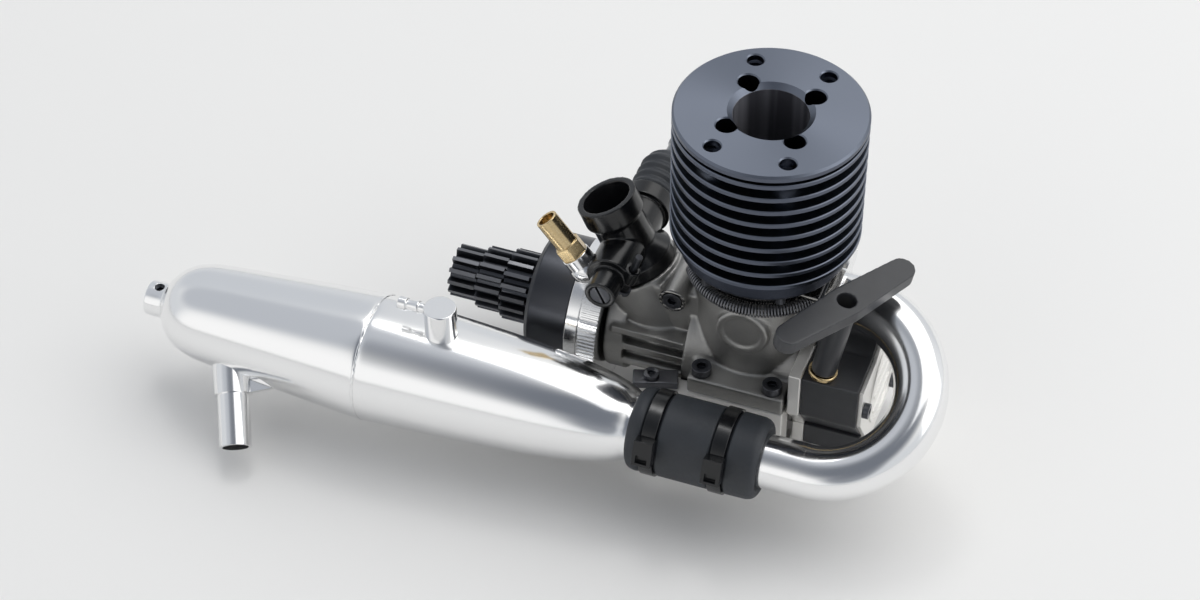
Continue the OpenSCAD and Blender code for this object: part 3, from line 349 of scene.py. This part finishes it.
# Cooling head: turned from bar in thin fins, dyed blue-black and anodised, its edges lightly broken.
# Four bolts sunk through its fins hold it to the case, and four screws round its well hold the button.
anodised = blank("blue-black anodised aluminium")
place = surface_place(anodised)
mark = noise(anodised, place, scale=900.0, detail=4.0)
rough = spread(anodised, mark, low=0.3, high=0.4)
round_way = add(anodised, "ShaderNodeTangent", {}, direction_type="RADIAL", axis="Z").outputs[0]
# faces that look up are painted lighter than upright ones: a painted highlight on the tops and chamfers of
# the fins, painted shade on their rims
facing = add(anodised, "ShaderNodeNewGeometry", {})
slope = add(anodised, "ShaderNodeSeparateXYZ", {0: facing.outputs["Normal"]})
painted_top_light = spread(anodised, slope.outputs["Z"], start=0.2, end=0.6)
tone = mixed(anodised, painted_top_light, "#5A5F6B", "#727884")
dyed_and_painted_light = add(anodised, "ShaderNodeBsdfPrincipled",
           {"Base Color": tone, "Metallic": 1.0, "Roughness": rough,
            "Anisotropic": 0.65, "Tangent": round_way})
# the wall of the well is painted with upright light streaks drawn by a noise, a painted reflection
well_reach = 8.8 * mm
well = worked_out(anodised, "LESS_THAN", barrel_distance(anodised, place), well_reach)
upright = stretched(anodised, place, scales=(240.0, 240.0, 4.0))
painted_reflection_noise = noise(anodised, upright, scale=1.0, detail=2.0)
streak = spread(anodised, painted_reflection_noise, start=0.45, end=0.66)
wall = mixed(anodised, streak, "#4C4C52", "#86868C")
bored = add(anodised, "ShaderNodeBsdfPrincipled",
            {"Base Color": wall, "Metallic": 0.3, "Roughness": 0.3,
             "Anisotropic": 0.8, "Tangent": round_way})
shader = add(anodised, "ShaderNodeMixShader", {0: well, 1: dyed_and_painted_light.outputs[0], 2: bored.outputs[0]})
add(anodised, "ShaderNodeOutputMaterial", {"Surface": shader.outputs[0]})


def spun(name, path, centre, axis, steps):
    """A shape turned about an axis from a path of points, all in millimetres."""
    bpy.ops.object.select_all(action="DESELECT")
    bpy.ops.mesh.primitive_plane_add(size=mm)
    piece = bpy.context.object
    piece.name = name
    bpy.ops.object.mode_set(mode="EDIT")
    bpy.ops.mesh.select_all(action="SELECT")
    bpy.ops.mesh.merge(type="CENTER")
    bpy.ops.transform.translate(value=Vector(path[0]) * mm)
    for here, there in zip(path, path[1:]):
        step = (Vector(there) - Vector(here)) * mm
        bpy.ops.mesh.extrude_vertices_move(TRANSFORM_OT_translate={"value": step})
    bpy.ops.mesh.select_all(action="SELECT")
    bpy.ops.mesh.spin(steps=steps, angle=2 * math.pi, center=Vector(centre) * mm, axis=axis)
    bpy.ops.mesh.select_all(action="SELECT")
    bpy.ops.mesh.remove_doubles(threshold=2e-6)
    bpy.ops.mesh.normals_make_consistent(inside=False)
    bpy.ops.object.mode_set(mode="OBJECT")
    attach(piece, "engine")
    return piece


# sizes of the head in millimetres: the well, the rim and root of the fins, the skirt and the top plate
well_r, well_low, well_chamfer = 8.75, 67.2, 1.3
rim_r, root_r, skirt_r, skirt_low = 22.5, 16, 13.6, 60
head_top, top_chamfer, plate_low = 96.3, 0.5, 94.6
fins, lowest_fin, fin_stack, fin_t, fin_edge = 9, 61.5, 34.8, 1.3, 0.2
outline = [
    (well_r, well_low), (well_r, head_top - well_chamfer), (well_r + well_chamfer, head_top),
    (rim_r - top_chamfer, head_top), (rim_r, head_top - top_chamfer),
    (rim_r, plate_low + fin_edge), (rim_r - fin_edge, plate_low), (root_r, plate_low)]
for fin in reversed(range(fins)):
    fin_low = lowest_fin + fin_stack / fins * fin
    fin_high = fin_low + fin_t
    outline += [
        (root_r, fin_high), (rim_r - fin_edge, fin_high), (rim_r, fin_high - fin_edge),
        (rim_r, fin_low + fin_edge), (rim_r - fin_edge, fin_low), (root_r, fin_low)]
outline += [(root_r, skirt_low), (skirt_r, skirt_low), (skirt_r, well_low), (well_r, well_low)]
head = spun("finned_head", [(r, 0, z) for r, z in outline], centre=(0, 0, 0), axis=(0, 0, 1), steps=144)

# holes for the four bolts and the four screws round the well, each with its edge broken by a cone;
# a row has the place on X and Y, the radius and the floor
drill_top, drill_sides = 98, 36
cone_depth, cone_growth, cone_z = 1, 1, 96.5
holes = ((8.8, 15.7, 1.95, 65.4), (8, 8, 2.5, 70.2))
bpy.ops.object.select_all(action="DESELECT")
drills = []
for x, y, bore, hole_low in holes:
    for side_x in (1, -1):
        for side_y in (1, -1):
            hole_x = side_x * x * mm
            hole_y = side_y * y * mm
            bpy.ops.mesh.primitive_cylinder_add(
                vertices=drill_sides, radius=bore * mm, depth=(drill_top - hole_low) * mm,
                location=(hole_x, hole_y, (drill_top + hole_low) / 2 * mm))
            drills.append(bpy.context.object)
            bpy.ops.mesh.primitive_cone_add(
                vertices=drill_sides, radius1=bore * mm, radius2=(bore + cone_growth) * mm,
                depth=cone_depth * mm, location=(hole_x, hole_y, cone_z * mm))
            drills.append(bpy.context.object)
for drill in drills:
    drill.select_set(True)
bpy.ops.object.join()
drill = bpy.context.object
applied(head, "BOOLEAN", operation="DIFFERENCE", object=drill, use_self=True)
bpy.data.objects.remove(drill)
bpy.ops.object.select_all(action="DESELECT")
head.select_set(True)
bpy.ops.object.shade_smooth_by_angle(angle=math.radians(30))
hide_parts("cooling_head")
finished(head, anodised)


# Socket screws of head, bell, carburettor, starter, lugs, arm and hanger: black oxide steel, each
# threaded home in the piece under it. The glow plug in the well is left bright.
def edged(name, width, angle=32, segments=2, joined=True):
    """A copy of a CAD node with its sharp edges broken and its flat faces kept flat."""
    piece = copied(name)
    if joined:
        bpy.ops.object.mode_set(mode="EDIT")
        bpy.ops.mesh.select_all(action="SELECT")
        bpy.ops.mesh.dissolve_limited(angle_limit=math.radians(0.4))
        bpy.ops.object.mode_set(mode="OBJECT")
    bpy.ops.object.shade_smooth_by_angle(angle=math.radians(angle))
    applied(piece, "BEVEL", width=width, segments=segments, limit_method="ANGLE",
            angle_limit=math.radians(angle), use_clamp_overlap=False, miter_outer="MITER_ARC")
    bpy.ops.object.shade_smooth_by_angle(angle=math.radians(50))
    applied(piece, "WEIGHTED_NORMAL", keep_sharp=True, weight=80)
    return piece


oxide = blank("black oxide steel")
mark = noise(oxide, surface_place(oxide), scale=1500.0, detail=3.0)
rough = spread(oxide, mark, low=0.28, high=0.42)
# the colour is lighter on sharp edges, where the mesh is most pointed
edge = add(oxide, "ShaderNodeNewGeometry", {})
lighter_on_edges = spread(oxide, edge.outputs["Pointiness"], start=0.52, end=0.6)
tone = mixed(oxide, lighter_on_edges, "#383A3F", "#808185")
surfaced(oxide, {"Base Color": tone, "Metallic": 0.9, "Roughness": rough})
plain_node("glow_plug", ground_steel)
for name in ("head_bolts", "button_screws", "bell_screw", "carburettor_bolt", "starter_screws",
             "lug_screws", "arm_screw", "hanger_screw"):
    screw = edged(name, width=0.12 * mm)
    finished(screw, oxide)

# Flywheel and clutch: polished flywheel with a knurled band, moulded shoes, and an oxide-black bell
# with three stepped pinions that runs on the shaft's pilot.
polished = blank("polished aluminium")
place = surface_place(polished)
streak = stretched(polished, place, scales=(60.0, 900.0, 900.0))
buff = noise(polished, streak, scale=1.0, detail=4.0)
haze = noise(polished, place, scale=60.0, detail=2.0)
rough = spread(polished, haze, low=0.11, high=0.19)
bump = bumped(polished, buff, strength=0.05, depth=0.02 * mm)
surfaced(polished, {"Base Color": linear("#F4F4F4"), "Metallic": 1.0, "Roughness": rough, "Normal": bump})

crank_z = 20 * mm
band_x, band_width, band_r = -38.7 * mm, 4.5 * mm, 17.98 * mm
knurl_r, tooth_width, tooth_height, tooth_bevel = 18.0 * mm, 0.55 * mm, 0.6 * mm, 0.1 * mm
teeth = 110
flywheel = edged("flywheel", width=0.12 * mm)
bpy.ops.object.select_all(action="DESELECT")
bpy.ops.mesh.primitive_cylinder_add(vertices=120, radius=band_r, depth=band_width,
                                    location=(band_x, 0, crank_z), rotation=(0, math.pi / 2, 0))
band = bpy.context.object
bpy.ops.mesh.primitive_cube_add(size=1, location=(band_x, 0, crank_z + knurl_r),
                                scale=(band_width, tooth_width, tooth_height))
bpy.ops.object.transform_apply(location=True, rotation=True, scale=True)
bpy.ops.object.mode_set(mode="EDIT")
bpy.ops.mesh.select_all(action="SELECT")
bpy.ops.mesh.bevel(offset=tooth_bevel, segments=1)
bpy.ops.mesh.select_all(action="SELECT")
bpy.ops.mesh.spin(steps=teeth - 1, angle=math.radians(360 * (teeth - 1) / teeth), center=(0, 0, crank_z),
                  axis=(1, 0, 0), dupli=True)
bpy.ops.object.mode_set(mode="OBJECT")
knurl = bpy.context.object
for piece in (band, knurl, flywheel):
    piece.select_set(True)
bpy.context.view_layer.objects.active = flywheel
bpy.ops.object.join()
finished(flywheel, polished)
for name, width, joined in (("clutch_bell", 0.14 * mm, True), ("pinion_gears", 0.08 * mm, False)):
    wheel = edged(name, width, joined=joined)
    finished(wheel, oxide)

moulded = blank("glass filled nylon, moulded")
place = surface_place(moulded)
grain = noise(moulded, place, scale=3200.0, detail=2.0)
cloud = noise(moulded, place, scale=220.0, detail=3.0)
tone = mixed(moulded, cloud, "#2C2D30", "#3A3B3E")
rough = spread(moulded, grain, low=0.3, high=0.44)
bump = bumped(moulded, grain, strength=0.2, depth=0.04 * mm)
surfaced(moulded, {"Base Color": tone, "Roughness": rough, "Normal": bump})
plain_node("clutch_shoes", moulded)
plain_node("flywheel_collet", brass)
for name in ("clutch_spring", "clutch_nut", "bell_bearings"):
    plain_node(name, ground_steel)

# Carburettor: moulded body with a round throat, slide barrel and needle bosses, clamped in the case
# by the pinch bolt. A brass needle housing screws into a polished banjo at its near side.
glossy = blank("nylon, moulded and glossy")
grain = noise(glossy, surface_place(glossy), scale=600.0, detail=2.0)
rough = spread(glossy, grain, low=0.16, high=0.28)
surfaced(glossy, {"Base Color": linear("#0E0F11"), "Roughness": rough})
carburettor = cast_shape("carburettor_body", voxel=0.22 * mm, passes=2)
finished(carburettor, glossy)

rubber = blank("silicone rubber, matt")
place = surface_place(rubber)
grain = noise(rubber, place, scale=1400.0, detail=3.0)
cloud = noise(rubber, place, scale=120.0, detail=3.0)
tone = mixed(rubber, cloud, "#1F2226", "#33373D")
rough = spread(rubber, grain, low=0.45, high=0.65)
bump = bumped(rubber, grain, strength=0.15, depth=0.05 * mm)
surfaced(rubber, {"Base Color": tone, "Roughness": rough, "Normal": bump})
boot = edged("slide_boot", width=0.4 * mm, angle=20, segments=3)
finished(boot, rubber)

banjo = edged("fuel_banjo", width=0.15 * mm)
finished(banjo, polished)
for name in ("needle_housing", "main_needle"):
    stem = edged(name, width=0.15 * mm)
    finished(stem, brass)
for name in ("low_speed_needle", "idle_screw"):
    screw = edged(name, width=0.1 * mm)
    finished(screw, oxide)
for name in ("throttle_slide", "throttle_ball"):
    plain_node(name, ground_steel)

# Recoil starter: cast rear cover, moulded box with a horn for the cord, machined end plate and brass
# eyelet. The T-handle is moulded, and the braided cord is knotted in its stem.
cover = edged("rear_cover", width=0.3 * mm)
finished(cover, turned_alloy)
box = edged("starter_housing", width=0.35 * mm)
finished(box, moulded)
plate = edged("starter_plate", width=0.15 * mm)
finished(plate, turned_alloy)
eyelet = edged("cord_eyelet", width=0.3 * mm)
finished(eyelet, brass)
handle = cast_shape("pull_handle", voxel=0.22 * mm, passes=3)
finished(handle, moulded)
plain_node("starter_pulley", moulded)
for name in ("starter_shaft", "recoil_spring"):
    plain_node(name, ground_steel)

braid = blank("braided nylon cord")
weave = add(braid, "ShaderNodeTexWave",
            {"Vector": surface_place(braid), "Scale": 320.0, "Distortion": 2.0}, bands_direction="DIAGONAL")
tone = mixed(braid, weave.outputs[0], "#8E8C86", "#D4D2CB")
surfaced(braid, {"Base Color": tone, "Roughness": 0.85})
cord_r, cord_sides = 0.8 * mm, 20
knot_r = 1.8 * mm
pull_lean = math.radians(9.7)
pull_way = Vector((math.sin(pull_lean), 0, math.cos(pull_lean)))
foot = Vector((20, -10.5, 20)) * mm
bend = Vector((20.1, -15.7, 33)) * mm
mouth_reach, knot_reach = 2.5, 20.6
mouth = bend + pull_way * mouth_reach * mm
knot = bend + pull_way * knot_reach * mm
bpy.ops.object.select_all(action="DESELECT")
bpy.ops.mesh.primitive_uv_sphere_add(segments=cord_sides, ring_count=12, radius=knot_r, location=knot)
stopper = bpy.context.object
bpy.ops.mesh.primitive_circle_add(vertices=cord_sides, radius=cord_r, fill_type="NGON", location=foot,
                                  rotation=(0, pull_lean, 0))
cord = bpy.context.object
cord.name = "drawn_cord"
bpy.ops.object.mode_set(mode="EDIT")
bpy.ops.mesh.select_all(action="SELECT")
for here, there in ((foot, bend), (bend, mouth), (mouth, knot)):
    bpy.ops.mesh.extrude_region_move(TRANSFORM_OT_translate={"value": there - here})
bpy.ops.mesh.select_all(action="SELECT")
bpy.ops.mesh.normals_make_consistent(inside=False)
bpy.ops.object.mode_set(mode="OBJECT")
stopper.select_set(True)
bpy.ops.object.join()
bpy.ops.object.transform_apply(location=True, rotation=True, scale=True)
bpy.ops.object.shade_smooth_by_angle(angle=math.radians(40))
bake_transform(cord)
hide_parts("pull_cord")
finished(cord, braid)

# Mounting: two machined aluminium blocks under the lugs, screwed from above, and a small oxide-black
# plate at the near front corner, held by one screw.
blocks = edged("mount_blocks", width=0.3 * mm)
finished(blocks, turned_alloy)
arm = edged("side_arm", width=0.3 * mm)
finished(arm, oxide)

# Header: polished aluminium tube bent back on itself, with a flange held by a coil spring round
# the barrel and a thin gasket against the case. The spring's copy keeps its hooks, and a row of tilted
# rings makes its coils.
plain_node("exhaust_gasket", rubber)
plain_node("exhaust_header", polished)
spring_r, spring_z = 17.2 * mm, 49.5 * mm
coil_r, wire_r, coil_tilt = 1.3 * mm, 0.27 * mm, 0.12
hooks_end = math.radians(69)
coils, coils_start, coils_span = 93, math.radians(70), math.radians(220)
hooks = copied("header_spring")
for point in hooks.data.vertices:
    point.select = abs(math.atan2(point.co.y, point.co.x)) > hooks_end
bpy.ops.object.mode_set(mode="EDIT")
bpy.ops.mesh.select_mode(type="VERT")
bpy.ops.mesh.delete(type="VERT")
bpy.ops.object.mode_set(mode="OBJECT")
bpy.ops.object.select_all(action="DESELECT")
bpy.ops.mesh.primitive_torus_add(
    major_radius=coil_r, minor_radius=wire_r, major_segments=18, minor_segments=8,
    location=(spring_r * math.cos(coils_start), spring_r * math.sin(coils_start), spring_z),
    rotation=(math.pi / 2, coil_tilt, coils_start))
bpy.ops.object.transform_apply(location=True, rotation=True, scale=True)
bpy.ops.object.mode_set(mode="EDIT")
bpy.ops.mesh.select_all(action="SELECT")
bpy.ops.mesh.spin(steps=coils - 1, angle=coils_span, center=(0, 0, spring_z), axis=(0, 0, 1), dupli=True)
bpy.ops.object.mode_set(mode="OBJECT")
hooks.select_set(True)
bpy.context.view_layer.objects.active = hooks
bpy.ops.object.join()
bpy.ops.object.shade_smooth()
finished(hooks, oxide)

# Joint: moulded silicone tube pushed over the ends of header and pipe.
# Two black nylon cable ties hold it.
joint = edged("silicone_joint", width=0.5 * mm, angle=20, segments=3)
finished(joint, rubber)
ties = edged("cable_ties", width=0.12 * mm, joined=False)
finished(ties, glossy)

# Tuned pipe: two spun aluminium cones welded at the widest point, a hanger boss at the end,
# a sleeve with the tail pipe below and a pressure fitting on top. All are polished.
pipe_y, pipe_z = -37.6, 23


def cone(name, stations):
    """A polished skin turned about the pipe's axis from (radius, place on X), and smoothed."""
    path = [(x, pipe_y, pipe_z + radius) for radius, x in stations]
    piece = spun(name, path, centre=(0, pipe_y, pipe_z), axis=(1, 0, 0), steps=56)
    applied(piece, "SUBSURF", levels=2)
    bpy.ops.object.shade_smooth()
    finished(piece, polished)
    return piece


front = cone("front_cone", (
    (6.9, -4), (7.2, -2.1), (7.6, -2), (8, -2.1), (8, -6), (8, -14), (8, -18), (8.25, -19.4), (9.3, -20.9),
    (10.7, -25.6), (11.8, -31), (12.8, -38), (13.6, -46), (14.29, -56), (14.9, -67), (15.32, -77),
    (15.56, -83.4), (15.58, -84.7), (15.3, -85), (14.8, -85)))
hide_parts("pipe_front")
rear = cone("rear_cone", (
    (14.8, -85), (15.3, -85), (15.58, -85.3), (15.56, -86.6), (15.44, -90), (14.12, -107), (13.2, -118),
    (12.36, -128.6), (11.8, -132), (10.7, -135.3), (8.9, -137.9), (6.7, -139.8), (5, -140.7), (4.55, -141),
    (4.45, -141.5), (4.45, -143), (4.45, -145.2), (4.35, -145.7), (4, -145.8), (2.4, -145.8), (2, -145.6),
    (2, -144), (2, -141.6), (1.8, -141.4), (0.4, -141.4)))
set_screw_x, set_screw_z, set_screw_r, set_screw_depth = -142.8, 27.2, 1.27, 4
bpy.ops.mesh.primitive_cylinder_add(vertices=40, radius=set_screw_r * mm, depth=set_screw_depth * mm,
                                    location=(set_screw_x * mm, pipe_y * mm, set_screw_z * mm))
drill = bpy.context.object
applied(rear, "BOOLEAN", operation="DIFFERENCE", object=drill)
bpy.data.objects.remove(drill)
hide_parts("pipe_rear")

weld_x, weld_r, bead_r, bead_ripple = -85, 15.44, 0.33, 0.2
bpy.ops.object.select_all(action="DESELECT")
bpy.ops.mesh.primitive_torus_add(
    major_radius=weld_r * mm, minor_radius=bead_r * mm, major_segments=150, minor_segments=8,
    location=(weld_x * mm, pipe_y * mm, pipe_z * mm), rotation=(0, math.pi / 2, 0))
weld = bpy.context.object
weld.name = "weld_bead"
bpy.ops.object.transform_apply(location=True, rotation=True, scale=True)
bpy.ops.object.mode_set(mode="EDIT")
bpy.ops.mesh.select_all(action="SELECT")
bpy.ops.transform.vertex_random(offset=bead_ripple * mm, uniform=1.0, normal=0.0, seed=4)
bpy.ops.object.mode_set(mode="OBJECT")
applied(weld, "SUBSURF", levels=1)
bpy.ops.object.shade_smooth()
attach(weld, "engine")
finished(weld, polished)
for name in ("pipe_baffle", "tail_sleeve", "tail_pipe"):
    plain_node(name, polished)
fitting = edged("pressure_fitting", width=0.25 * mm)
finished(fitting, polished)
